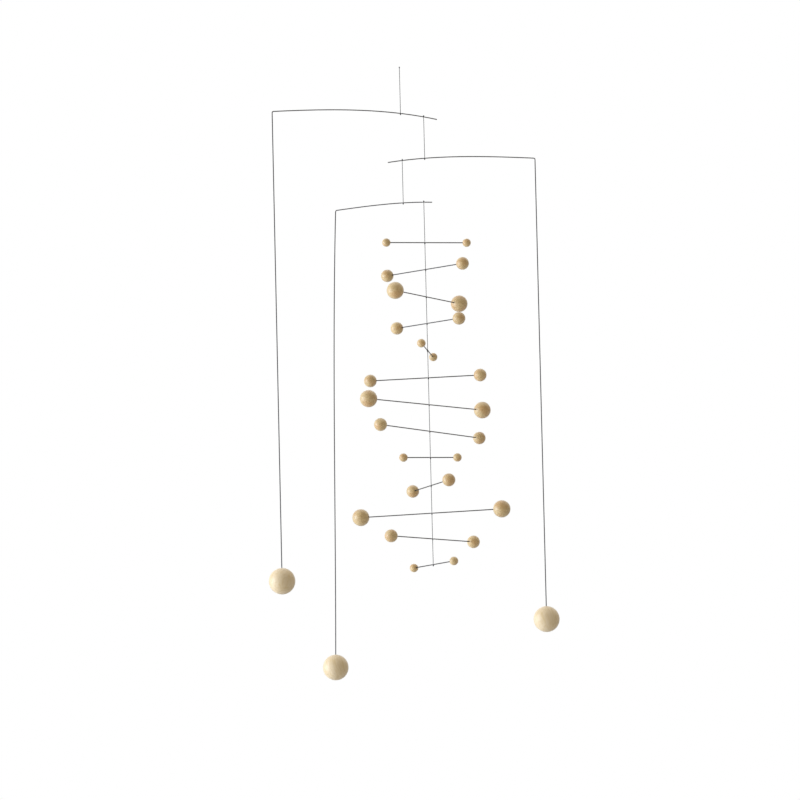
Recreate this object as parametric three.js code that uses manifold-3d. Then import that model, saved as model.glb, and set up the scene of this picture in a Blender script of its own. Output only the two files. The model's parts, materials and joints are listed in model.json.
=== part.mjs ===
// A hanging mobile of turned wooden balls on thin steel wire.
// Three bent arms hang one below the other; each carries a long straight leg with a
// large ball on its outer side and the next tier on its short inner side. From the
// lowest arm hangs a stack of thirteen cross-rods, each with a ball on both ends.
// Millimetres, +Z up. The origin is the top end of the hanging thread.

import * as THREE from "three";
import { mergeVertices } from "three/addons/utils/BufferGeometryUtils.js";
import Module from "manifold-3d";

const wasm = await Module();
wasm.setup();

// ---------------------------------------------------------------- driving dimensions
const GAP = 0.3; // clearance between pieces that touch
const KNOT_GAP = 0.2; // clearance between a knot and the eye it holds

const WIRE = 1.2; // diameter of the steel wire of arms and rods
const THREAD = 0.8; // diameter of the hanging thread
const KNOT = { wide: 1.8, high: 1.2 }; // a knot pulled tight in the thread
const TAIL = 0.3; // end of thread left past the last knot
const EYE = 2.4; // outer diameter of a flattened, drilled eye in the wire
const EYE_THICK = 0.7; // thickness of that eye
const EYE_HOLE = THREAD + 2 * GAP; // the thread passes with clearance

const BALL = { small: 10, medium: 15, large: 20, weight: 30 }; // ball diameters
const SOCKET = { small: 4, medium: 5, large: 6, weight: 9 }; // depth of the drilled socket
const FACETS = { small: [10, 5], medium: [12, 6], large: [14, 7], weight: [18, 9] };
const SOCKET_BORE = WIRE + 2 * GAP;

const TOP_THREAD = 57.7; // from the origin down to the eye of the first arm
const ARM_BOW = 600; // radius of the upward bow of every arm, at its eye
const BEND = 2; // radius of the bend between an arm and its leg
const LEG = 533.5; // from that bend down to the top of the large ball

// Each arm, seen along its own plane with its leg on the positive side of its eye.
//   inner  eye to the drilled hole that carries the next tier
//   tail   free end of the wire past that hole
//   outer  eye to the leg
//   rise   slope of the wire at its eye, upwards to the leg
//   fade   eye to where the bow has faded out to straight wire
//   lean   tilt of the leg away from the vertical, outwards, in degrees
//   bulge  how far the leg bows outwards, a third of the way down
//   turn   direction of the leg seen from above, in degrees from +X
//   drop   length of the thread below this arm, to the eye of the next arm
const ARMS = [
  {
    inner: 30.5, tail: 17.6, outer: 165.4, rise: 0.0171, fade: 194,
    lean: -0.29, bulge: 0, turn: 205, drop: 51,
  },
  {
    inner: 27, tail: 17.3, outer: 131.6, rise: 0.035, fade: 150,
    lean: -0.45, bulge: 0, turn: -4, drop: 52,
  },
  {
    inner: 26.5, tail: 10.6, outer: 88.8, rise: 0.0618, fade: 95,
    lean: 1.23, bulge: 2, turn: 157, drop: 0,
  },
];

const SIZES = ["small", "medium", "large", "medium"]; // ball size repeats down the stack

// Each rod from the top down: distance between ball centres, direction of its second
// ball seen from above in degrees from +X, shift of its middle off the thread, and drop
// from the rod above (for the first, from the hole in the last arm).
const RODS = [
  [96, 7, 2, 49.2],
  [107, -34, -1.5, 32.5],
  [116, 49, 2.5, 33],
  [90, -36, 1, 32],
  [94, 81, -2.5, 32.5],
  [131, -10, -4, 32.5],
  [170, 38, -4, 32],
  [171, 47, 2, 31.5],
  [64, 9, 0, 31],
  [106, -67, -2, 33],
  [172, -18, -1.5, 32.5],
  [130, 42, 0.5, 30],
  [86, -58, 1, 30],
];

// Knots sit just past the eyes that they hold, and a little thread is left past them.
const knotOffset = EYE_THICK / 2 + KNOT_GAP + KNOT.high / 2; // from the middle of an eye
const knotEnd = KNOT.high / 2 + TAIL; // from the cut end of the thread

// ---------------------------------------------------------------- finishes
const wood = () =>
  new THREE.MeshStandardMaterial({ color: 0xdcc49a, roughness: 0.55, metalness: 0 });
const steel = () =>
  new THREE.MeshStandardMaterial({ color: 0x3c3b3a, roughness: 0.4, metalness: 0.9 });
const thread = () =>
  new THREE.MeshStandardMaterial({ color: 0x2b2a29, roughness: 0.8, metalness: 0 });

// ---------------------------------------------------------------- helpers
const rad = THREE.MathUtils.degToRad;

function toSolid(geometry) {
  const bare = geometry.index ? geometry.toNonIndexed() : geometry.clone();
  bare.deleteAttribute("normal");
  bare.deleteAttribute("uv");
  const merged = mergeVertices(bare, 1e-4);
  return new wasm.Manifold(
    new wasm.Mesh({
      numProp: 3,
      vertProperties: merged.attributes.position.array,
      triVerts: new Uint32Array(merged.index.array),
    }),
  );
}

function toGeometry(solid) {
  const { vertProperties, triVerts, numProp } = solid.getMesh();
  const points = new Float32Array((vertProperties.length / numProp) * 3);
  for (let i = 0; i < points.length / 3; i++)
    for (let k = 0; k < 3; k++) points[3 * i + k] = vertProperties[numProp * i + k];
  const geometry = new THREE.BufferGeometry();
  geometry.setAttribute("position", new THREE.BufferAttribute(points, 3));
  geometry.setIndex([...triVerts]);
  geometry.computeVertexNormals();
  return geometry;
}

// Turns a profile of [radius, height] pairs about the Z axis, from the bottom up.
function turned(profile, segments) {
  const points = profile.map(([r, z]) => new THREE.Vector2(r, z));
  return new THREE.LatheGeometry(points, segments).rotateX(Math.PI / 2);
}

// A path with its steps exactly on the given points, so that bends stay true.
class PointPath extends THREE.Curve {
  constructor(points) {
    super();
    this.points = points;
  }
  getPoint(t, target = new THREE.Vector3()) {
    const last = this.points.length - 1;
    const at = Math.min(Math.max(t, 0), 1) * last;
    const i = Math.min(Math.floor(at), last - 1);
    return target.lerpVectors(this.points[i], this.points[i + 1], at - i);
  }
  getPointAt(u, target) {
    return this.getPoint(u, target);
  }
  getTangent(t, target = new THREE.Vector3()) {
    const last = this.points.length - 1;
    const i = Math.round(t * last);
    const before = this.points[Math.max(i - 1, 0)];
    const after = this.points[Math.min(i + 1, last)];
    return target.subVectors(after, before).normalize();
  }
  getTangentAt(u, target) {
    return this.getTangent(u, target);
  }
  getSpacedPoints(divisions) {
    return Array.from({ length: divisions + 1 }, (_, i) => this.getPoint(i / divisions));
  }
}

// A round wire along the points, closed at both ends.
function sweptWire(points, sides = 8) {
  const corners = Array.from({ length: sides }, (_, i) => {
    const a = (2 * Math.PI * (i + 0.5)) / sides;
    return new THREE.Vector2(Math.cos(a), Math.sin(a)).multiplyScalar(WIRE / 2);
  });
  return new THREE.ExtrudeGeometry(new THREE.Shape(corners), {
    steps: points.length - 1,
    extrudePath: new PointPath(points),
  });
}

// Flattens the wire at each station into a drilled eye. A station is a point on the
// wire and the wire's slope there, in the plane y = 0.
function withEyes(solid, stations) {
  for (const { x, z, slope } of stations) {
    const place = (geometry) => toSolid(geometry.rotateY(-slope).translate(x, 0, z));
    const disc = turned(
      [
        [0, -EYE_THICK / 2],
        [EYE / 2, -EYE_THICK / 2],
        [EYE / 2, EYE_THICK / 2],
        [0, EYE_THICK / 2],
      ],
      12,
    );
    const hole = turned(
      [
        [0, -WIRE],
        [EYE_HOLE / 2, -WIRE],
        [EYE_HOLE / 2, WIRE],
        [0, WIRE],
      ],
      8,
    );
    solid = solid.add(place(disc)).subtract(place(hole));
  }
  return solid;
}

// A turned ball about the origin with a socket drilled down from its top pole.
function ballGeometry(size) {
  const r = BALL[size] / 2;
  const [segments, rings] = FACETS[size];
  const bore = SOCKET_BORE / 2;
  const mouth = Math.asin(bore / r);
  const profile = [[0, -r]];
  for (let i = 1; i <= rings; i++) {
    const a = (i / rings) * (Math.PI - mouth);
    profile.push([r * Math.sin(a), -r * Math.cos(a)]);
  }
  profile.push([bore, r - SOCKET[size]], [0, r - SOCKET[size]]);
  return turned(profile, segments);
}

// A thread with a knot centred at each of the given heights and a short end past the
// first and the last of them.
function knottedThread(knots) {
  const bottom = Math.min(...knots) - knotEnd;
  const top = Math.max(...knots) + knotEnd;
  const profile = [
    [0, bottom],
    [THREAD / 2, bottom],
  ];
  for (const z of [...knots].sort((a, b) => a - b)) {
    for (const [r, h] of [
      [THREAD / 2, -KNOT.high / 2],
      [KNOT.wide / 2, -KNOT.high / 5],
      [KNOT.wide / 2, KNOT.high / 5],
      [THREAD / 2, KNOT.high / 2],
    ])
      profile.push([r, z + h]);
  }
  profile.push([THREAD / 2, top], [0, top]);
  return turned(profile, 6);
}

function piece(name, geometry, material) {
  const mesh = new THREE.Mesh(geometry, material);
  mesh.name = name;
  return mesh;
}

// Height and slope of the bow at a distance along the arm, with the eye at zero. Its
// curvature falls evenly from the eye to nothing where the bow has faded out.
const bowAt = (arm, s) =>
  arm.rise * s - ((s * s) / (2 * ARM_BOW)) * (1 - s / (3 * arm.fade));
const slopeAt = (arm, s) => Math.atan(arm.rise - (s / ARM_BOW) * (1 - s / (2 * arm.fade)));

// ---------------------------------------------------------------- arms
// The whole wire of an arm in the plane y = 0, its eye at the origin and its leg at +X.
function armLine(arm) {
  const points = [];
  const start = -(arm.inner + arm.tail);
  const end = arm.outer - BEND;
  const steps = Math.round((end - start) / 20);
  for (let i = 0; i <= steps; i++) {
    const s = start + ((end - start) * i) / steps;
    points.push(new THREE.Vector3(s, 0, bowAt(arm, s)));
  }
  // the bend turns the wire from the slope of the bow to the top of the leg
  const length = LEG - BEND;
  const hump = (t) => 6.75 * t * (1 - t) ** 2; // 0 at both ends, 1 a third of the way down
  const line = -Math.PI / 2 + rad(arm.lean);
  const from = slopeAt(arm, end);
  const to = line + Math.atan((6.75 * arm.bulge) / length);
  const at = points[points.length - 1];
  const centre = { x: at.x + BEND * Math.sin(from), z: at.z - BEND * Math.cos(from) };
  const turns = 5;
  for (let i = 1; i <= turns; i++) {
    const a = from + ((to - from) * i) / turns;
    points.push(
      new THREE.Vector3(centre.x - BEND * Math.sin(a), 0, centre.z + BEND * Math.cos(a)),
    );
  }
  // the leg ends in the socket of the large ball
  const knee = points[points.length - 1];
  const down = new THREE.Vector3(Math.cos(line), 0, Math.sin(line));
  const out = new THREE.Vector3(-down.z, 0, down.x);
  const parts = arm.bulge > 0 ? 8 : 1;
  for (let i = 1; i <= parts; i++) {
    const t = i / parts;
    const point = knee.clone().addScaledVector(down, length * t);
    points.push(point.addScaledVector(out, arm.bulge * hump(t)));
  }
  points[points.length - 1].addScaledVector(down, SOCKET.weight - GAP);
  const ball = knee.clone().addScaledVector(down, length + BALL.weight / 2);
  return { points, ball };
}

function buildArm(arm, index) {
  const group = new THREE.Group();
  const { points, ball } = armLine(arm);
  const stations = [0, -arm.inner].map((s) => ({
    x: s,
    z: bowAt(arm, s),
    slope: slopeAt(arm, s),
  }));
  const solid = withEyes(toSolid(sweptWire(points)), stations);
  group.add(piece(`arm_${index + 1}`, toGeometry(solid), steel()));

  const weight = piece(`weight_ball_${index + 1}`, ballGeometry("weight"), wood());
  weight.position.copy(ball);
  weight.rotation.y = -rad(arm.lean);
  group.add(weight);
  return group;
}

// ---------------------------------------------------------------- cross-rods
function buildRod(rod, index) {
  const [length, turn, shift] = rod;
  const size = SIZES[index % SIZES.length];
  const number = String(index + 1).padStart(2, "0");
  const group = new THREE.Group();
  group.rotation.z = rad(turn);

  const reach = length / 2 - BALL[size] / 2 + SOCKET[size] - GAP;
  const ends = [shift - reach, shift + reach].map((x) => new THREE.Vector3(x, 0, 0));
  const wire = sweptWire(ends, 6);
  const solid = withEyes(toSolid(wire), [{ x: 0, z: 0, slope: 0 }]);
  group.add(piece(`rod_${number}`, toGeometry(solid), steel()));

  for (const [side, letter] of [
    [-1, "a"],
    [1, "b"],
  ]) {
    const ball = piece(`ball_${number}_${letter}`, ballGeometry(size), wood());
    ball.position.x = shift + (side * length) / 2;
    ball.rotation.y = (-side * Math.PI) / 2; // the socket faces the thread
    group.add(ball);
  }
  return group;
}

// ---------------------------------------------------------------- assembly
const mobile = new THREE.Group();
let eye = new THREE.Vector3(0, 0, -TOP_THREAD); // eye of the arm being placed
mobile.add(piece("top_thread", knottedThread([-knotEnd, eye.z - knotOffset]), thread()));

ARMS.forEach((arm, index) => {
  const group = buildArm(arm, index);
  group.position.copy(eye);
  group.rotation.z = rad(arm.turn);
  mobile.add(group);

  // the drilled hole on the inner side, from which the next tier hangs
  const hole = new THREE.Vector3(-arm.inner, 0, bowAt(arm, -arm.inner))
    .applyAxisAngle(new THREE.Vector3(0, 0, 1), rad(arm.turn))
    .add(eye);
  const topKnot = hole.z + knotOffset;
  if (arm.drop > 0) {
    const below = hole.z - arm.drop;
    const line = knottedThread([below - knotOffset, topKnot]);
    const link = piece(`link_thread_${index + 2}`, line, thread());
    link.position.set(hole.x, hole.y, 0);
    mobile.add(link);
    eye = new THREE.Vector3(hole.x, hole.y, below);
    return;
  }

  // the stack of cross-rods on its own thread, a knot under each rod
  let height = hole.z;
  const heights = RODS.map(([, , , drop]) => (height -= drop));
  const knots = [topKnot, ...heights.map((z) => z - knotOffset)];
  const spine = piece("spine_thread", knottedThread(knots), thread());
  spine.position.set(hole.x, hole.y, 0);
  mobile.add(spine);
  RODS.forEach((rod, i) => {
    const group = buildRod(rod, i);
    group.position.set(hole.x, hole.y, heights[i]);
    mobile.add(group);
  });
});

export default mobile;
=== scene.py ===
import json
import math
import random

import bmesh
import bpy
from mathutils import Matrix, Vector


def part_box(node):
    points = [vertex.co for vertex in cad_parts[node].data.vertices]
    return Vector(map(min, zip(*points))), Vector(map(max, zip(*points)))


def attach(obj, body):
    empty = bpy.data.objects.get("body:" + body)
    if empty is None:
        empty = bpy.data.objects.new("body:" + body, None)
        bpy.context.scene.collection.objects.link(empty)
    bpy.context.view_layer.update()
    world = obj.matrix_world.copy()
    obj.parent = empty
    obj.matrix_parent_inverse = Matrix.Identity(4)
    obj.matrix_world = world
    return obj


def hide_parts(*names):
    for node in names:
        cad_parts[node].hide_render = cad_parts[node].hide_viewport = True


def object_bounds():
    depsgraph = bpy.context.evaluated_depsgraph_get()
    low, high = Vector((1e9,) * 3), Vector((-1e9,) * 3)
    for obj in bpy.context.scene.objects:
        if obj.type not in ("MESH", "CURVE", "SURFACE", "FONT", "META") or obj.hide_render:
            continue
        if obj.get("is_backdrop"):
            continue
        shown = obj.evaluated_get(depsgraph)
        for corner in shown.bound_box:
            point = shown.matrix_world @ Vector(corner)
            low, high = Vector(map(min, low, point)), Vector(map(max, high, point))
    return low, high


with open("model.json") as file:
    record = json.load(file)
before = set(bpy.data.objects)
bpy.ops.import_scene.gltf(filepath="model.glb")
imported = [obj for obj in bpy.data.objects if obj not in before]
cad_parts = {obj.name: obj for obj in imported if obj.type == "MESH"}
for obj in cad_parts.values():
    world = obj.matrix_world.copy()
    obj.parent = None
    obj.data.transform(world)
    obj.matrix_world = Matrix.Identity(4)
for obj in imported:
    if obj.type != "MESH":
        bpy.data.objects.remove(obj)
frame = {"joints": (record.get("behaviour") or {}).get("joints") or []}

bl_info = {
    "name": "Hanging Ball Mobile",
    "version": (1, 0, 0),
    "blender": (4, 5, 0),
    "location": "3D View > Sidebar > Mobile",
    "description": "Turned balls, bent wire arms, cross-rods and twisted thread of a hanging mobile",
    "category": "Add Mesh",
}

MM = 0.001
CAD_LOW, CAD_HIGH = (Vector(corner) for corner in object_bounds())

JOINTS = {joint["name"]: Vector(joint["pos_m"]) for joint in frame["joints"]}
ARM_EYES = [JOINTS[f"tier_{tier}_turn"] for tier in (1, 2, 3)]
STACK_HOLE = JOINTS["stack_turn"]

# Each arm in its own upright plane, in metres: eye to the drilled hole of the next tier,
# free end past that hole, eye to leg, slope at the eye, eye to where the bow has faded out,
# outward lean of the leg in degrees, and how far the leg bows outwards a third of the way down.
ARMS = (
    {"inner": 0.0305, "tail": 0.0176, "outer": 0.1654, "rise": 0.0171, "fade": 0.194,
     "lean": -0.29, "bulge": 0.0},
    {"inner": 0.027, "tail": 0.0173, "outer": 0.1316, "rise": 0.035, "fade": 0.150,
     "lean": -0.45, "bulge": 0.0},
    {"inner": 0.0265, "tail": 0.0106, "outer": 0.0888, "rise": 0.0618, "fade": 0.095,
     "lean": 1.23, "bulge": 0.002},
)
ARM_BOW = 0.6  # radius of the bow of every arm, at its eye
BEND = 0.002  # radius of the bend between arm and leg
LEG = 0.5335  # bend to the top of the large ball
KNOT_GAP = 0.0002  # a knot stands this clear of the eye that it holds

ROD_COUNT = 13
BALL_SIZES = (0.010, 0.015, 0.020, 0.015)  # repeats down the stack
WEIGHT_SIZE = 0.030
SOCKET_DEPTH = {0.010: 0.004, 0.015: 0.005, 0.020: 0.006, 0.030: 0.009}
BALL_RINGS = {0.010: 24, 0.015: 28, 0.020: 34, 0.030: 48}
SOCKET_PLAY = 0.00003  # between the wire and the wall of a ball's socket
ANY_TURN = 6.28  # knots are tied facing any way round


# ---------------------------------------------------------------- settings
class MobileWood(bpy.types.PropertyGroup):
    """Colours and figure of the turned balls."""

    pale: bpy.props.FloatVectorProperty(
        name="Pale wood", description="Early wood, sanded and oiled",
        default=(0.79, 0.565, 0.25), subtype="COLOR", min=0, max=1)
    tan: bpy.props.FloatVectorProperty(
        name="Late wood", description="Darker end of each year's growth",
        default=(0.60, 0.38, 0.14), subtype="COLOR", min=0, max=1)
    # Painted shade, not heartwood: warm, dark patches that stand in for the balls' core shadow,
    # placed at random by noise.
    painted_core_shade: bpy.props.FloatVectorProperty(
        name="Warm patches", description="Heartwood blush",
        default=(0.66, 0.35, 0.10), subtype="COLOR", min=0, max=1)
    sapwood: bpy.props.FloatVectorProperty(
        name="Sapwood", description="Whiter wood that the large balls are turned from",
        default=(0.95, 0.75, 0.48), subtype="COLOR", min=0, max=1)
    # also the colour of the painted shade inside each ball's drilled socket
    fleck: bpy.props.FloatVectorProperty(
        name="Ray flecks", description="Short dark dashes along the grain",
        default=(0.44, 0.28, 0.14), subtype="COLOR", min=0, max=1)
    ring_width: bpy.props.FloatProperty(
        name="Ring width", description="One year's growth",
        default=0.0034, unit="LENGTH", min=0.0002)
    seed: bpy.props.IntProperty(
        name="Seed", description="Chooses where in the log each ball is cut", default=11)


class MobileWire(bpy.types.PropertyGroup):
    """The steel wire of arms and rods."""

    diameter: bpy.props.FloatProperty(
        name="Wire", description="Diameter of the wire",
        default=0.0012, unit="LENGTH", min=0.0001)
    eye: bpy.props.FloatProperty(
        name="Eye width", description="Width of the hammered eye",
        default=0.0024, unit="LENGTH", min=0.0001)
    eye_length: bpy.props.FloatProperty(
        name="Eye length", description="Length of wire that is hammered flat",
        default=0.0044, unit="LENGTH", min=0.0001)
    eye_thickness: bpy.props.FloatProperty(
        name="Eye thickness", description="Thickness left in the eye",
        default=0.0007, unit="LENGTH", min=0.0001)
    hole: bpy.props.FloatProperty(
        name="Hole", description="Drilled hole that the thread passes through",
        default=0.0014, unit="LENGTH", min=0.0001)
    steel: bpy.props.FloatVectorProperty(
        name="Blued steel", description="Colour of the wire",
        default=(0.075, 0.074, 0.076), subtype="COLOR", min=0, max=1)


class MobileThread(bpy.types.PropertyGroup):
    """The twisted hanging thread."""

    diameter: bpy.props.FloatProperty(
        name="Thread", description="Diameter over all three plies",
        default=0.0008, unit="LENGTH", min=0.0001)
    lay: bpy.props.FloatProperty(
        name="Lay", description="Length of one turn of a ply",
        default=0.0022, unit="LENGTH", min=0.0001)
    knot: bpy.props.FloatProperty(
        name="Knot", description="Width of a knot",
        default=0.0018, unit="LENGTH", min=0.0001)
    knot_height: bpy.props.FloatProperty(
        name="Knot height", description="Height of a knot along the thread",
        default=0.0012, unit="LENGTH", min=0.0001)
    tail: bpy.props.FloatProperty(
        name="Cut end", description="Thread left past the last knot",
        default=0.0003, unit="LENGTH", min=0)
    dye: bpy.props.FloatVectorProperty(
        name="Dye", description="Colour of the thread",
        default=(0.06, 0.059, 0.06), subtype="COLOR", min=0, max=1)


class MobileStage(bpy.types.PropertyGroup):
    """Camera, lights and floor."""

    distance: bpy.props.FloatProperty(
        name="Camera distance", description="Camera to the point it looks at",
        default=3.0, unit="LENGTH", min=0.1)
    rise: bpy.props.FloatProperty(
        name="Rise", description="Angle at which the camera looks up",
        default=math.radians(9.258), unit="ROTATION")
    roll: bpy.props.FloatProperty(
        name="Roll", description="Tilt of the camera about its own line of sight",
        default=math.radians(1.388), unit="ROTATION")
    lens: bpy.props.FloatProperty(
        name="Lens", description="Focal length in millimetres", default=115.28, min=1)
    aim_side: bpy.props.FloatProperty(
        name="Aim sideways", description="Aim from the hanging thread, to the right",
        default=-0.00885, unit="LENGTH")
    aim_drop: bpy.props.FloatProperty(
        name="Aim down", description="Aim below the top of the thread",
        default=0.4039, unit="LENGTH")
    floor_gap: bpy.props.FloatProperty(
        name="Floor below", description="Floor to the lowest ball",
        default=0.22, unit="LENGTH", min=0)
    backdrop: bpy.props.FloatVectorProperty(
        name="Backdrop", description="Colour behind and around the mobile",
        default=(1.0, 1.0, 1.0), subtype="COLOR", min=0, max=1)
    daylight: bpy.props.FloatVectorProperty(
        name="Daylight", description="Colour of the light from the left",
        default=(0.76, 0.85, 1.0), subtype="COLOR", min=0, max=1)
    room_light: bpy.props.FloatVectorProperty(
        name="Room light", description="Colour of the light from all around",
        default=(1.0, 0.96, 0.86), subtype="COLOR", min=0, max=1)
    room_glow: bpy.props.FloatProperty(
        name="Room", description="Even light from all around", default=0.36, min=0)
    left_glow: bpy.props.FloatProperty(
        name="Left glow", description="Soft light from the left", default=1.6875, min=0)
    left_glow_from: bpy.props.FloatVectorProperty(
        name="Left glow from", description="Direction of the middle of the left glow",
        default=(-0.904, -0.129, -0.405), subtype="DIRECTION")
    back_glow: bpy.props.FloatProperty(
        name="Back glow", description="Soft light from behind and above", default=0.85, min=0)
    back_glow_from: bpy.props.FloatVectorProperty(
        name="Back glow from", description="Direction of the middle of the back glow",
        default=(-0.12, 0.5, 0.86), subtype="DIRECTION")
    key_power: bpy.props.FloatProperty(
        name="Key light", description="Power of the lamp on the left", default=38, unit="POWER")
    key_width: bpy.props.FloatProperty(
        name="Key width", description="Width of the lamp", default=1.0, unit="LENGTH", min=0.01)
    key_height: bpy.props.FloatProperty(
        name="Key height", description="Height of the lamp", default=1.6, unit="LENGTH", min=0.01)
    key_offset: bpy.props.FloatVectorProperty(
        name="Key offset", description="The lamp from the middle of the mobile",
        default=(-2.2, -0.5, -0.3), subtype="TRANSLATION")
    floor_half: bpy.props.FloatProperty(
        name="Floor reach", description="Middle of the floor to its edge",
        default=6.0, unit="LENGTH", min=1)


# ---------------------------------------------------------------- shader writing
class Sock:
    """An output socket on which arithmetic adds Math nodes."""

    def __init__(self, paint, socket):
        self.paint, self.socket = paint, socket

    def _math(self, operation, *values, **settings):
        settings["operation"] = operation
        return self.paint.node("ShaderNodeMath", settings, dict(enumerate(values)))

    def __add__(self, other):
        return self._math("ADD", self, other)

    __radd__ = __add__

    def __sub__(self, other):
        return self._math("SUBTRACT", self, other)

    def __rsub__(self, other):
        return self._math("SUBTRACT", other, self)

    def __mul__(self, other):
        return self._math("MULTIPLY", self, other)

    __rmul__ = __mul__

    def __truediv__(self, other):
        return self._math("DIVIDE", self, other)

    def __pow__(self, other):
        return self._math("POWER", self, other)

    def fraction(self):
        return self._math("FRACT", self)

    def ramp(self, low, high):
        """0 below low, 1 above high, smooth between."""
        return self.paint.node(
            "ShaderNodeMapRange", {"interpolation_type": "SMOOTHSTEP"},
            {"Value": self, "From Min": low, "From Max": high})


class Nodes:
    """The nodes of a material or of the surroundings, and the ways to add more."""

    def __init__(self, tree):
        self.tree = tree
        tree.nodes.clear()

    def connect(self, socket, value):
        if isinstance(value, Sock):
            self.tree.links.new(value.socket, socket)
        elif socket.type == "RGBA" and len(value) == 3:
            socket.default_value = (*value, 1.0)
        else:
            socket.default_value = value

    def node(self, kind, settings=None, inputs=None, output=0):
        """A node of any kind: its settings first, then its inputs; gives one output."""
        node = self.tree.nodes.new(kind)
        for key, value in (settings or {}).items():
            setattr(node, key, value)
        for key, value in (inputs or {}).items():
            self.connect(node.inputs[key], value)
        return None if output is None else Sock(self, node.outputs[output])

    def facing(self, way, towards):
        """1 where a direction points straight towards another, -1 straight away."""
        return self.node(
            "ShaderNodeVectorMath", {"operation": "DOT_PRODUCT"}, {0: way, 1: towards}, "Value")


class Paint(Nodes):
    """A new material with one shader."""

    def __init__(self, name):
        self.material = bpy.data.materials.new(name)
        self.material.use_nodes = True
        super().__init__(self.material.node_tree)
        self.shader = self.tree.nodes.new("ShaderNodeBsdfPrincipled")
        self.node("ShaderNodeOutputMaterial", {},
                  {"Surface": Sock(self, self.shader.outputs[0])}, output=None)

    def attribute(self, name, output="Fac"):
        return self.node("ShaderNodeAttribute", {"attribute_name": name}, output=output)

    def split(self, vector):
        return [self.node("ShaderNodeSeparateXYZ", {}, {0: vector}, axis) for axis in "XYZ"]

    def scaled(self, vector, factors):
        return self.node(
            "ShaderNodeVectorMath", {"operation": "MULTIPLY"}, {0: vector, 1: factors})

    def noise(self, vector, scale, detail=2.0, roughness=0.5):
        return self.node(
            "ShaderNodeTexNoise", {},
            {"Vector": vector, "Scale": scale, "Detail": detail, "Roughness": roughness},
            "Fac")

    def mix(self, factor, first, second):
        settings = {"data_type": "RGBA", "clamp_factor": True}
        return self.node(
            "ShaderNodeMix", settings, {0: factor, 6: first, 7: second}, 2)

    def tint(self, colour, factor):
        """A colour made lighter or darker by a value."""
        return self.node(
            "ShaderNodeVectorMath", {"operation": "SCALE"}, {0: colour, "Scale": factor})

    def bump(self, height, distance, strength=1.0):
        return self.node(
            "ShaderNodeBump", {},
            {"Height": height, "Distance": distance, "Strength": strength})

    def finish(self, **inputs):
        for name, value in inputs.items():
            socket = name.replace("_", " ").title().replace("Ior", "IOR")
            self.connect(self.shader.inputs[socket], value)
        return self.material


def kept(name, make):
    """A material by name, made the first time it is asked for."""
    return bpy.data.materials.get(name) or make(Paint(name))


def turned_wood(paint):
    """Pale close-grained wood, with painted shade: warm patches that stand in for the balls'
    core shadow, and a darkened drilled socket. The log attribute holds each point's place in
    the log, in millimetres, with the fibres along Z."""
    wood = bpy.context.scene.mobile_wood
    log = paint.attribute("log", "Vector")
    tone = paint.attribute("tone")
    # how much painted shade falls in the drilled socket
    mouth = paint.attribute("mouth")
    white = paint.attribute("white")
    x, y, _ = paint.split(log)
    wander = paint.noise(paint.scaled(log, (1, 1, 0.3)), 0.09, 2)
    around = (x * x + y * y) ** 0.5
    ring = (around / (wood.ring_width / MM) + wander * 5).fraction()
    late = ring.ramp(0.35, 0.93) * (1 - ring.ramp(0.94, 1.0))
    fibre = paint.noise(paint.scaled(log, (1, 1, 0.05)), 3.2, 3, 0.6)
    streak = paint.noise(paint.scaled(log, (1, 1, 0.07)), 0.33, 2)
    # painted shade: a warm, dark patch about a ball wide, standing in for the core shadow
    core_shade_patch = paint.noise(log, 0.09, 1).ramp(0.42, 0.66)
    dash = paint.noise(paint.scaled(log, (1.0, 2.2, 0.42)), 2.3, 1)
    fleck = dash.ramp(0.68, 0.74)
    figure = late * 0.4 + streak.ramp(0.3, 0.7) * 0.4 + fibre.ramp(0.35, 0.7) * 0.06
    heart = paint.mix(core_shade_patch * 0.6, paint.mix(figure, wood.pale, wood.tan), wood.painted_core_shade)
    sap = paint.mix(figure * 0.75 + core_shade_patch * 0.2, wood.sapwood, wood.pale)
    colour = paint.mix(white, heart, sap)
    colour = paint.mix(fleck * 0.12, colour, wood.fleck)
    # painted shade: the socket's walls and eased rim darkened towards the fleck colour
    colour = paint.mix(mouth * 0.8, colour, wood.fleck)
    relief = fibre * 0.5 - late * 0.35 - fleck * 0.5
    return paint.finish(
        base_color=paint.tint(colour, tone),
        roughness=0.46 + white * 0.08 + fibre * 0.03 + fleck * 0.05,
        normal=paint.bump(relief, 0.00002, 0.06),
        specular_ior_level=1.0,
        sheen_weight=0.5,
        sheen_roughness=0.45,
        coat_roughness=0.42,
        coat_weight=0.5 - white * 0.3,
    )


def blued_steel(paint):
    """Spring wire: drawn lines along it, faint mottling, brighter where it is hammered."""
    steel = bpy.context.scene.mobile_wire.steel
    along = paint.attribute("along", "Vector")
    hammered = paint.attribute("hammered")
    drawn = paint.noise(paint.scaled(along, (1, 1, 0.02)), 9.0, 3, 0.6)
    mottle = paint.noise(along, 0.8, 3, 0.6)
    dimples = paint.noise(along, 2.6, 2)
    shade = 0.75 + mottle * 0.35 + drawn * 0.2 + hammered * 0.6
    relief = drawn * 0.4 + dimples * hammered
    return paint.finish(
        base_color=paint.tint(paint.mix(mottle.ramp(0.4, 0.8) * 0.5, steel, (0.1, 0.085, 0.07)),
                              shade),
        metallic=1.0,
        roughness=0.34 + mottle * 0.16 - hammered * 0.08,
        normal=paint.bump(relief, 0.00003, 0.5),
    )


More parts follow.
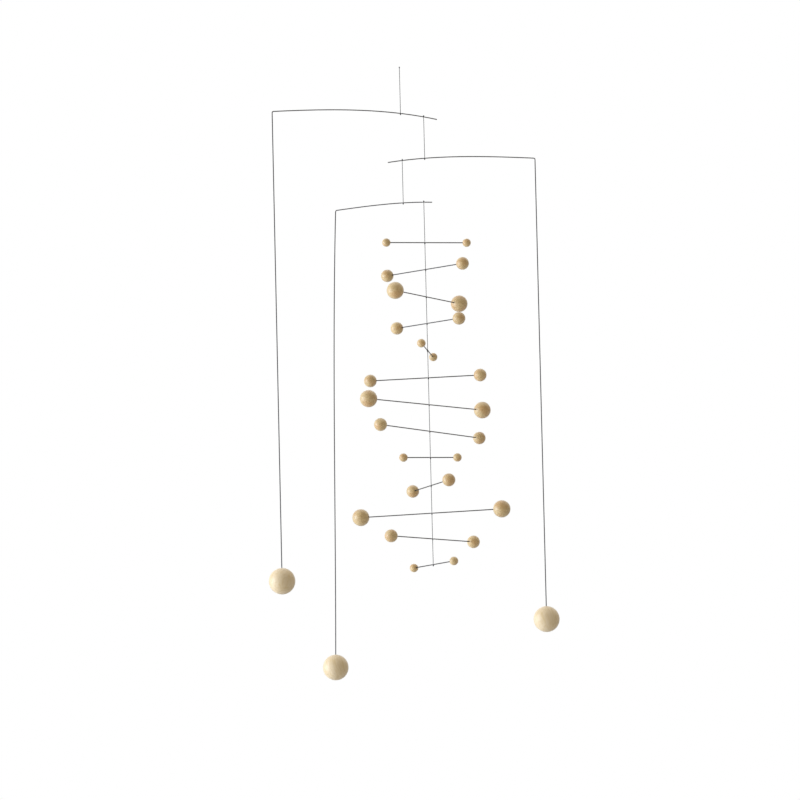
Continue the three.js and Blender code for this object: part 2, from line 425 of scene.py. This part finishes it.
def dyed_thread(paint):
    """Twisted thread: fine fibres along each ply."""
    dye = bpy.context.scene.mobile_thread.dye
    ply = paint.attribute("ply", "Vector")
    fibre = paint.noise(paint.scaled(ply, (1, 1, 0.1)), 14.0, 3, 0.7)
    fade = paint.noise(ply, 0.15, 2)
    colour = paint.mix(fibre.ramp(0.3, 0.8) * 0.7, dye, tuple(2.1 * c for c in dye))
    return paint.finish(
        base_color=paint.tint(colour, 0.8 + fade * 0.4),
        roughness=0.62 + fibre * 0.2,
        normal=paint.bump(fibre, 0.00002, 0.7),
    )


def floor_paint(paint):
    """Matt white studio floor, very slightly uneven."""
    place = paint.node("ShaderNodeTexCoord", output="Object")
    cloud = paint.noise(place, 1.3, 3)
    return paint.finish(
        base_color=paint.mix(cloud, (0.86, 0.86, 0.855), (0.9, 0.9, 0.9)),
        roughness=0.7 + cloud * 0.1,
    )


# ---------------------------------------------------------------- mesh helpers
def new_piece(name, mesh, material, body, nodes=()):
    """A piece that rides on a body and stands for the solids named."""
    piece = bpy.data.objects.new(name, mesh)
    bpy.context.scene.collection.objects.link(piece)
    mesh.materials.clear()
    mesh.materials.append(material)
    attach(piece, body)
    if nodes:
        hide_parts(*nodes)
    return piece


def store(mesh, name, kind, values):
    """Writes one value, or one vector, for each vertex of a mesh."""
    layer = mesh.attributes.new(name, kind, "POINT")
    key = "vector" if kind == "FLOAT_VECTOR" else "value"
    layer.data.foreach_set(key, [part for value in values for part in value]
                           if key == "vector" else list(values))


def smooth(mesh, crease=math.radians(38)):
    """Smooth shading, sharp where faces meet more steeply than the crease."""
    mesh.shade_smooth()
    mesh.set_sharp_from_angle(angle=crease)


def grid_mesh(name, rings):
    """A closed tube through rings of points that all have the same count."""
    sides = len(rings[0])
    points = [point for ring in rings for point in ring]
    faces = []
    for start in range(0, (len(rings) - 1) * sides, sides):
        for i in range(sides):
            j = (i + 1) % sides
            faces.append((start + i, start + j, start + sides + j, start + sides + i))
    faces.append(tuple(reversed(range(sides))))
    faces.append(tuple(range(len(points) - sides, len(points))))
    mesh = bpy.data.meshes.new(name)
    mesh.from_pydata(points, [], faces)
    mesh.validate()
    return mesh


def joined(name, meshes):
    """One mesh out of several, with their attributes."""
    whole = bmesh.new()
    for mesh in meshes:
        whole.from_mesh(mesh)
        bpy.data.meshes.remove(mesh)
    mesh = bpy.data.meshes.new(name)
    bmesh.ops.recalc_face_normals(whole, faces=whole.faces)
    whole.to_mesh(mesh)
    whole.free()
    return mesh


# ---------------------------------------------------------------- balls
def ball_profile(size, hole):
    """Radius and height from just off the closed pole, over the eased mouth, to the foot of
    the drilled socket; then the heights of the pole and of the socket's bottom."""
    radius, rings = size / 2, BALL_RINGS[size]
    ease = 0.00022
    mouth = math.asin((hole + ease) / radius)
    profile = []
    for i in range(1, rings + 1):
        angle = (math.pi - mouth) * i / rings
        profile.append((radius * math.sin(angle), -radius * math.cos(angle)))
    top = radius * math.cos(mouth)
    profile.append((hole + ease * 0.35, top - ease * 0.25))
    profile.append((hole, top - ease))
    floor = radius - SOCKET_DEPTH[size]
    profile.append((hole, floor + 0.0004))
    return profile, -radius, floor + 0.0001


def ball_mesh(name, size, rng):
    hole = bpy.context.scene.mobile_wire.diameter / 2 + SOCKET_PLAY
    profile, pole, bottom = ball_profile(size, hole)
    sides = 2 * BALL_RINGS[size]
    rim = [(math.cos(2 * math.pi * i / sides), math.sin(2 * math.pi * i / sides))
           for i in range(sides)]
    points = [(r * c, r * s, z) for r, z in profile for c, s in rim]
    last = len(points) - sides
    points += [(0, 0, pole), (0, 0, bottom)]
    faces = []
    for start in range(0, last, sides):
        for i in range(sides):
            j = (i + 1) % sides
            faces.append((start + i, start + j, start + sides + j, start + sides + i))
    for i in range(sides):
        j = (i + 1) % sides
        faces.append((j, i, len(points) - 2))
        faces.append((last + i, last + j, len(points) - 1))
    mesh = bpy.data.meshes.new(name)
    mesh.from_pydata(points, [], faces)
    # the grain runs within about twenty degrees of the drilled hole
    tilt = Matrix.Rotation(rng.uniform(0, 2 * math.pi), 3, "Z") @ Matrix.Rotation(
        rng.uniform(0.05, 0.35), 3, "X")
    pith = Vector((rng.uniform(10, 34), rng.uniform(-6, 6), rng.uniform(-200, 200)))
    spin = Matrix.Rotation(rng.uniform(0, 2 * math.pi), 3, "Z")
    log = [spin @ (tilt @ (Vector(p) / MM) + pith) for p in points]
    tone = rng.uniform(0.94, 1.05)
    deep = size / 2 - 0.0005
    # painted shade in the drilled socket: 1 on its walls, 0.45 round its eased rim
    mouth = [1.0 if math.hypot(x, y) < hole * 1.02 and 0 < z < deep else
             0.45 if math.hypot(x, y) < hole * 1.5 and z > 0 else 0.0 for x, y, z in points]
    store(mesh, "log", "FLOAT_VECTOR", log)
    store(mesh, "tone", "FLOAT", [tone] * len(points))
    store(mesh, "mouth", "FLOAT", mouth)
    store(mesh, "white", "FLOAT", [1.0 if size == WEIGHT_SIZE else 0.0] * len(points))
    smooth(mesh, math.radians(30))
    return mesh


def middle(node):
    """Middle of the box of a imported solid."""
    low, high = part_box(node)
    return (Vector(low) + Vector(high)) / 2


def place_ball(node, name, size, body, towards, rng):
    """A turned ball where its solid is, with its socket facing a point."""
    mesh = ball_mesh(name, size, rng)
    centre = middle(node)
    turn = (towards - centre).to_track_quat("Z", "Y").to_matrix().to_4x4()
    mesh.transform(Matrix.Translation(centre) @ turn)
    wood = kept("turned wood", turned_wood)
    return new_piece(name, mesh, wood, body, [node])


# ---------------------------------------------------------------- wire
def bell(distance, reach):
    """1 in the middle of a hammered eye, falling smoothly to 0 at its ends."""
    if abs(distance) >= reach:
        return 0.0
    return math.cos(math.pi / 2 * distance / reach) ** 2


def wire_blank(name, line, eyes, wire, sides=16):
    """Round wire along a plane line of (x, z) points, hammered flat at each eye. The eyes
    are distances along the line."""
    reach = wire.eye_length / 2
    lengths = [0.0]
    for a, b in zip(line, line[1:]):
        lengths.append(lengths[-1] + math.dist(a, b))

    def at(distance):
        i = max(k for k in range(len(line) - 1) if k == 0 or lengths[k] <= distance)
        t = (distance - lengths[i]) / (lengths[i + 1] - lengths[i])
        (ax, az), (bx, bz) = line[i], line[i + 1]
        return ax + (bx - ax) * t, az + (bz - az) * t

    step = 0.0002
    stations = set(lengths)
    for eye in eyes:
        count = round(2 * reach / step)
        stations = {s for s in stations if abs(s - eye) > reach}
        stations |= {eye - reach + 2 * reach * i / count for i in range(count + 1)}
    ease = wire.diameter * 0.18
    stations |= {ease, lengths[-1] - ease}
    rings, hammered, along = [], [], []
    for s in sorted(stations):
        x, z = at(s)
        ax, az = at(max(s - step, 0))
        bx, bz = at(min(s + step, lengths[-1]))
        run = Vector((bx - ax, 0, bz - az)).normalized()
        up = Vector((-run.z, 0, run.x))
        flat = max((bell(s - eye, reach) for eye in eyes), default=0)
        wide = wire.diameter / 2 + (wire.eye - wire.diameter) / 2 * flat
        thick = wire.diameter / 2 - (wire.diameter - wire.eye_thickness) / 2 * flat
        power = 1 - 0.5 * flat
        if s in (0.0, lengths[-1]):
            wide, thick = wide - ease, thick - ease
        ring = []
        for i in range(sides):
            c, n = (f(2 * math.pi * (i + 0.5) / sides) for f in (math.cos, math.sin))
            across = math.copysign(abs(c) ** power, c) * wide
            over = math.copysign(abs(n) ** power, n) * thick
            ring.append(Vector((x, 0, z)) + Vector((0, across, 0)) + up * over)
            along.append((across / MM, over / MM, s / MM))
            hammered.append(flat)
        rings.append(ring)
    mesh = grid_mesh(name, rings)
    store(mesh, "along", "FLOAT_VECTOR", along)
    store(mesh, "hammered", "FLOAT", hammered)
    return mesh


def drilled(mesh, holes, wire):
    """Cuts an eased hole at each place; a hole is a matrix whose Z is the drill."""
    blank = bpy.data.objects.new("blank", mesh)
    bpy.context.scene.collection.objects.link(blank)
    drills = []
    r, half, ease = wire.hole / 2, wire.eye_thickness / 2, 0.00009
    profile = [(r + ease, -3 * half), (r + ease, -half), (r, -half + ease),
               (r, half - ease), (r + ease, half), (r + ease, 3 * half)]
    sides = 24
    for hole in holes:
        rings = [[hole @ Vector((q * math.cos(2 * math.pi * i / sides),
                                 q * math.sin(2 * math.pi * i / sides), z))
                  for i in range(sides)] for q, z in profile]
        drill = bpy.data.objects.new("drill", grid_mesh("drill", rings))
        bpy.context.scene.collection.objects.link(drill)
        cut = blank.modifiers.new("drill", "BOOLEAN")
        cut.operation, cut.solver, cut.object = "DIFFERENCE", "EXACT", drill
        drills.append(drill)
    evaluated = blank.evaluated_get(bpy.context.evaluated_depsgraph_get())
    result = bpy.data.meshes.new_from_object(evaluated)
    for item in (blank, *drills):
        spent = item.data
        bpy.data.objects.remove(item)
        bpy.data.meshes.remove(spent)
    return result


def bow(arm, s):
    """Height of the bow at a distance from the eye towards the leg. Its curvature falls
    evenly from the eye to nothing where the bow has faded out."""
    return arm["rise"] * s - s * s / (2 * ARM_BOW) * (1 - s / (3 * arm["fade"]))


def slope(arm, s):
    """Angle of the bow at a distance from the eye towards the leg."""
    return math.atan(arm["rise"] - s / ARM_BOW * (1 - s / (2 * arm["fade"])))


def arm_line(arm):
    """The wire's middle line from the free end to the foot of the leg, in the plane of the
    arm with the eye at (0, 0); the distances of its two eyes along the line; and the place
    and angle of each eye."""
    start, end, steps = -(arm["inner"] + arm["tail"]), arm["outer"] - BEND, 60
    line = [(s, bow(arm, s)) for s in (start + (end - start) * i / steps
                                       for i in range(steps + 1))]
    length = LEG - BEND
    leg = -math.pi / 2 + math.radians(arm["lean"])
    first, last = slope(arm, end), leg + math.atan(6.75 * arm["bulge"] / length)
    cx = line[-1][0] + BEND * math.sin(first)
    cz = line[-1][1] - BEND * math.cos(first)
    for i in range(1, 13):
        a = first + (last - first) * i / 12
        line.append((cx - BEND * math.sin(a), cz + BEND * math.cos(a)))
    knee = line[-1]
    down, out = (math.cos(leg), math.sin(leg)), (-math.sin(leg), math.cos(leg))
    for i in range(1, 41):
        t = i / 40
        hump = arm["bulge"] * 6.75 * t * (1 - t) ** 2
        line.append(tuple(knee[k] + down[k] * length * t + out[k] * hump for k in (0, 1)))
    foot = SOCKET_DEPTH[WEIGHT_SIZE] - 0.0005
    line.append(tuple(line[-1][k] + down[k] * foot for k in (0, 1)))
    travelled = [0.0]
    for a, b in zip(line, line[1:]):
        travelled.append(travelled[-1] + math.dist(a, b))

    def distance(s):
        part = (s - start) / (end - start) * steps
        i = min(int(part), steps - 1)
        return travelled[i] + (travelled[i + 1] - travelled[i]) * (part - i)

    eyes = [(s, bow(arm, s), slope(arm, s)) for s in (-arm["inner"], 0.0)]
    return line, [distance(s) for s, _, _ in eyes], eyes


# ---------------------------------------------------------------- thread
def thread_mesh(name, place, bottom, top, thread):
    """Three plies laid up round each other between two heights."""
    ply = thread.diameter / 2 / (1 + 2 / math.sqrt(3))
    offset = thread.diameter / 2 - ply
    turns = (top - bottom) / thread.lay
    steps = max(8, round(turns * 8))
    plies = []
    for k in range(3):
        rings, stored = [], []
        for i in range(steps + 1):
            a = 2 * math.pi * (turns * i / steps + k / 3)
            out = Vector((math.cos(a), math.sin(a), 0))
            pitch = math.atan2(2 * math.pi * offset, thread.lay)
            run = Vector((-out.y * math.sin(pitch), out.x * math.sin(pitch), math.cos(pitch)))
            side = run.cross(out)
            z = bottom + (top - bottom) * i / steps
            core = Vector((place.x, place.y, z)) + out * offset
            ring = []
            for j in range(6):
                b = math.pi / 3 * j
                ring.append(core + (out * math.cos(b) + side * math.sin(b)) * ply)
                stored.append((math.cos(b) * ply / MM + 3 * k, math.sin(b) * ply / MM,
                               (z - bottom) / MM))
            rings.append(ring)
        mesh = grid_mesh(name, rings)
        store(mesh, "ply", "FLOAT_VECTOR", stored)
        plies.append(mesh)
    mesh = joined(name, plies)
    smooth(mesh, math.radians(60))
    return mesh


def knot_mesh(name, centre, turn, thread):
    """An overhand knot pulled tight round the thread."""
    strand = thread.diameter * 0.36
    wide = (thread.knot / 2 - strand) / 3
    tall = thread.knot_height / 2 - strand
    steps, sides = 66, 8

    def on(t):
        return Vector(((math.sin(t) + 2 * math.sin(2 * t)) * wide,
                       (math.cos(t) - 2 * math.cos(2 * t)) * wide,
                       -math.sin(3 * t) * tall))

    spin = Matrix.Rotation(turn, 3, "Z")
    rings, stored = [], []
    for i in range(steps + 1):
        t = 2 * math.pi * i / steps
        run = (on(t + 0.01) - on(t - 0.01)).normalized()
        side = run.cross(Vector((0, 0, 1))).normalized()
        over = side.cross(run)
        ring = []
        for j in range(sides):
            b = 2 * math.pi * j / sides
            edge = (side * math.cos(b) + over * math.sin(b)) * strand
            ring.append(centre + spin @ (on(t) + edge))
            stored.append((math.cos(b) * strand / MM, math.sin(b) * strand / MM, t * 2))
        rings.append(ring)
    mesh = grid_mesh(name, rings)
    store(mesh, "ply", "FLOAT_VECTOR", stored)
    return mesh


# ---------------------------------------------------------------- operators
class MOBILE_OT_set_stage(bpy.types.Operator):
    """Adds the camera, the lights, the white surroundings and the floor"""

    bl_idname = "mobile.set_stage"
    bl_label = "Set the stage"

    def execute(self, context):
        scene, stage = context.scene, context.scene.mobile_stage
        scene.view_settings.view_transform = "Standard"
        lens = bpy.data.cameras.new("camera")
        lens.lens, lens.sensor_width = stage.lens, 36
        camera = bpy.data.objects.new("camera", lens)
        scene.collection.objects.link(camera)
        look = Vector((0, math.cos(stage.rise), math.sin(stage.rise)))
        level, above = Vector((1, 0, 0)), Vector((0, -math.sin(stage.rise), math.cos(stage.rise)))
        right = level * math.cos(stage.roll) - above * math.sin(stage.roll)
        upward = level * math.sin(stage.roll) + above * math.cos(stage.roll)
        turn = Matrix((right, upward, -look)).transposed().to_4x4()
        aim = Vector((stage.aim_side, 0, CAD_HIGH.z - stage.aim_drop))
        camera.matrix_world = Matrix.Translation(aim - look * stage.distance) @ turn
        scene.camera = camera

        world = bpy.data.worlds.new("studio")
        scene.world = world
        world.use_nodes = True
        glow = Nodes(world.node_tree)
        way = glow.node("ShaderNodeTexCoord", output="Generated")
        left = glow.facing(way, stage.left_glow_from).ramp(0.4, 1.0) * stage.left_glow
        back = glow.facing(way, stage.back_glow_from).ramp(0.2, 1.0) * stage.back_glow
        room = None
        for colour, strength in ((stage.daylight, left), (stage.backdrop, back),
                                 (stage.room_light, stage.room_glow)):
            part = glow.node("ShaderNodeBackground", {}, {"Color": colour, "Strength": strength})
            room = part if room is None else glow.node("ShaderNodeAddShader", {},
                                                       {0: room, 1: part})
        seen = glow.node("ShaderNodeBackground", {}, {"Color": stage.backdrop})
        lens_ray = glow.node("ShaderNodeLightPath", output="Is Camera Ray")
        mixed = glow.node("ShaderNodeMixShader", {}, {0: lens_ray, 1: room, 2: seen})
        glow.node("ShaderNodeOutputWorld", {}, {"Surface": mixed}, output=None)

        light = bpy.data.lights.new("key light", "AREA")
        light.shape, light.size, light.size_y = "RECTANGLE", stage.key_width, stage.key_height
        light.energy, light.color = stage.key_power, stage.daylight
        key = bpy.data.objects.new("key light", light)
        scene.collection.objects.link(key)
        offset = Vector(stage.key_offset)
        key.location = (CAD_LOW + CAD_HIGH) / 2 + offset
        key.rotation_mode = "QUATERNION"
        key.rotation_quaternion = (-offset).to_track_quat("-Z", "Y")
        key.visible_camera = False

        floor_height, half = CAD_LOW.z - stage.floor_gap, stage.floor_half
        mesh = bpy.data.meshes.new("floor")
        mesh.from_pydata([(x * half, y * half, floor_height) for x, y in
                          ((-1, -1), (1, -1), (1, 1), (-1, 1))], [], [(0, 1, 2, 3)])
        mesh.materials.append(kept("studio floor", floor_paint))
        floor = bpy.data.objects.new("floor", mesh)
        scene.collection.objects.link(floor)
        floor.visible_diffuse = False  # a floor this pale would light the balls from below
        floor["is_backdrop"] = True
        return {"FINISHED"}


class MOBILE_OT_string_threads(bpy.types.Operator):
    """Lays up the twisted threads and ties their knots"""

    bl_idname = "mobile.string_threads"
    bl_label = "String the threads"

    def execute(self, context):
        thread = context.scene.mobile_thread
        dyed = kept("dyed thread", dyed_thread)
        eye_half = context.scene.mobile_wire.eye_thickness / 2
        # each thread: its body, whether it leaves the object upwards, and what its far end is
        plan = {"top_thread": ("hanger", True, "knot"),
                "link_thread_2": ("tier_1", False, "object"),
                "link_thread_3": ("tier_2", False, "object"),
                "spine_thread": ("stack", False, "knot")}
        rod_heights = [middle(f"rod_{n:02d}").z for n in range(1, ROD_COUNT + 1)]
        rng = random.Random(5)
        end = thread.tail + thread.knot_height / 2
        under = eye_half + KNOT_GAP + thread.knot_height / 2
        for node, (body, upwards, far_end) in plan.items():
            low, high = (Vector(corner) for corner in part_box(node))
            place = (low + high) / 2
            mesh = thread_mesh(node + "_laid", place, low.z, high.z, thread)
            laid = new_piece(node + "_laid", mesh, dyed, body, [node])
            heights = [low.z + end, high.z - end]
            if node == "spine_thread":
                heights = [high.z - end] + [z - under for z in rod_heights]
            ties = [knot_mesh("knot", Vector((place.x, place.y, z)), rng.uniform(0, ANY_TURN),
                              thread)
                    for z in heights]
            mesh = joined(node + "_knots", ties)
            smooth(mesh, math.radians(60))
            knots = new_piece(node + "_knots", mesh, dyed, body)
        return {"FINISHED"}


class MOBILE_OT_bend_arms(bpy.types.Operator):
    """Bends the three arms and drills their eyes"""

    bl_idname = "mobile.bend_arms"
    bl_label = "Bend the arms"

    def execute(self, context):
        wire = context.scene.mobile_wire
        steel = kept("blued steel", blued_steel)
        for number, (arm, eye) in enumerate(zip(ARMS, ARM_EYES), 1):
            line, distances, eyes = arm_line(arm)
            mesh = wire_blank(f"bent_arm_{number}", line, distances, wire)
            holes = [Matrix.Translation((x, 0, z)) @ Matrix.Rotation(-angle, 4, "Y")
                     for x, z, angle in eyes]
            mesh = drilled(mesh, holes, wire)
            leg = middle(f"weight_ball_{number}") - eye
            turn = math.atan2(leg.y, leg.x)
            mesh.transform(Matrix.Translation(eye) @ Matrix.Rotation(turn, 4, "Z"))
            smooth(mesh)
            new_piece(f"bent_arm_{number}", mesh, steel, f"tier_{number}",
                      [f"arm_{number}"])
        return {"FINISHED"}


class MOBILE_OT_cut_rods(bpy.types.Operator):
    """Cuts the cross-rods and drills their eyes"""

    bl_idname = "mobile.cut_rods"
    bl_label = "Cut the rods"

    def execute(self, context):
        wire = context.scene.mobile_wire
        steel = kept("blued steel", blued_steel)
        for n in range(1, ROD_COUNT + 1):
            size = BALL_SIZES[(n - 1) % len(BALL_SIZES)]
            ends = [middle(f"ball_{n:02d}_{side}") for side in "ab"]
            run = (ends[1] - ends[0]).normalized()
            eye = Vector((STACK_HOLE.x, STACK_HOLE.y, middle(f"rod_{n:02d}").z))
            inset = size / 2 - SOCKET_DEPTH[size] + 0.0004
            low = (ends[0] - eye).dot(run) + inset
            high = (ends[1] - eye).dot(run) - inset
            reach = wire.eye_length / 2
            cuts = [low + (-reach - low) * i / 8 for i in range(9)]
            cuts += [reach + (high - reach) * i / 8 for i in range(9)]
            mesh = wire_blank(f"cut_rod_{n:02d}", [(s, 0.0) for s in cuts], [-low], wire)
            mesh = drilled(mesh, [Matrix.Identity(4)], wire)
            turn = math.atan2(run.y, run.x)
            mesh.transform(Matrix.Translation(eye) @ Matrix.Rotation(turn, 4, "Z"))
            smooth(mesh)
            new_piece(f"cut_rod_{n:02d}", mesh, steel, "stack", [f"rod_{n:02d}"])
        return {"FINISHED"}


class MOBILE_OT_turn_balls(bpy.types.Operator):
    """Turns the balls on the cross-rods"""

    bl_idname = "mobile.turn_balls"
    bl_label = "Turn the rod balls"

    def execute(self, context):
        rng = random.Random(context.scene.mobile_wood.seed)
        for n in range(1, ROD_COUNT + 1):
            size = BALL_SIZES[(n - 1) % len(BALL_SIZES)]
            nodes = [f"ball_{n:02d}_{side}" for side in "ab"]
            for node, other in (nodes, nodes[::-1]):
                place_ball(node, "turned_" + node, size, "stack", middle(other), rng)
        return {"FINISHED"}


class MOBILE_OT_turn_weights(bpy.types.Operator):
    """Turns the large ball at the foot of each arm's leg"""

    bl_idname = "mobile.turn_weights"
    bl_label = "Turn the weights"

    def execute(self, context):
        rng = random.Random(context.scene.mobile_wood.seed + 1)
        for number, arm in enumerate(ARMS, 1):
            node = f"weight_ball_{number}"
            centre = middle(node)
            out = centre - ARM_EYES[number - 1]
            out.z = 0
            lean = math.radians(arm["lean"])
            up = Vector((0, 0, math.cos(lean))) - out.normalized() * math.sin(lean)
            place_ball(node, "turned_" + node, WEIGHT_SIZE, f"tier_{number}", centre + up, rng)
        return {"FINISHED"}


class MOBILE_PT_panel(bpy.types.Panel):
    """Sizes, finishes and steps of the hanging mobile"""

    bl_idname = "MOBILE_PT_panel"
    bl_label = "Hanging Ball Mobile"
    bl_space_type = "VIEW_3D"
    bl_region_type = "UI"
    bl_category = "Mobile"

    def draw(self, context):
        for group in GROUPS:
            settings = getattr(context.scene, group)
            box = self.layout.box()
            for key in settings.bl_rna.properties.keys():
                if key not in {"rna_type", "name"}:
                    box.prop(settings, key)
        for operator in OPERATORS:
            self.layout.operator(operator.bl_idname)


GROUPS = {
    "mobile_wood": MobileWood,
    "mobile_wire": MobileWire,
    "mobile_thread": MobileThread,
    "mobile_stage": MobileStage,
}
OPERATORS = (
    MOBILE_OT_set_stage,
    MOBILE_OT_string_threads,
    MOBILE_OT_bend_arms,
    MOBILE_OT_cut_rods,
    MOBILE_OT_turn_balls,
    MOBILE_OT_turn_weights,
)
CLASSES = (*GROUPS.values(), *OPERATORS, MOBILE_PT_panel)


def register():
    for item in CLASSES:
        bpy.utils.register_class(item)
    for name, group in GROUPS.items():
        setattr(bpy.types.Scene, name, bpy.props.PointerProperty(type=group))


def unregister():
    for name in GROUPS:
        delattr(bpy.types.Scene, name)
    for item in reversed(CLASSES):
        bpy.utils.unregister_class(item)


def main():
    register()
    for operator in OPERATORS:
        group, name = operator.bl_idname.split(".")
        getattr(getattr(bpy.ops, group), name)()


if __name__ == "__main__":
    main()
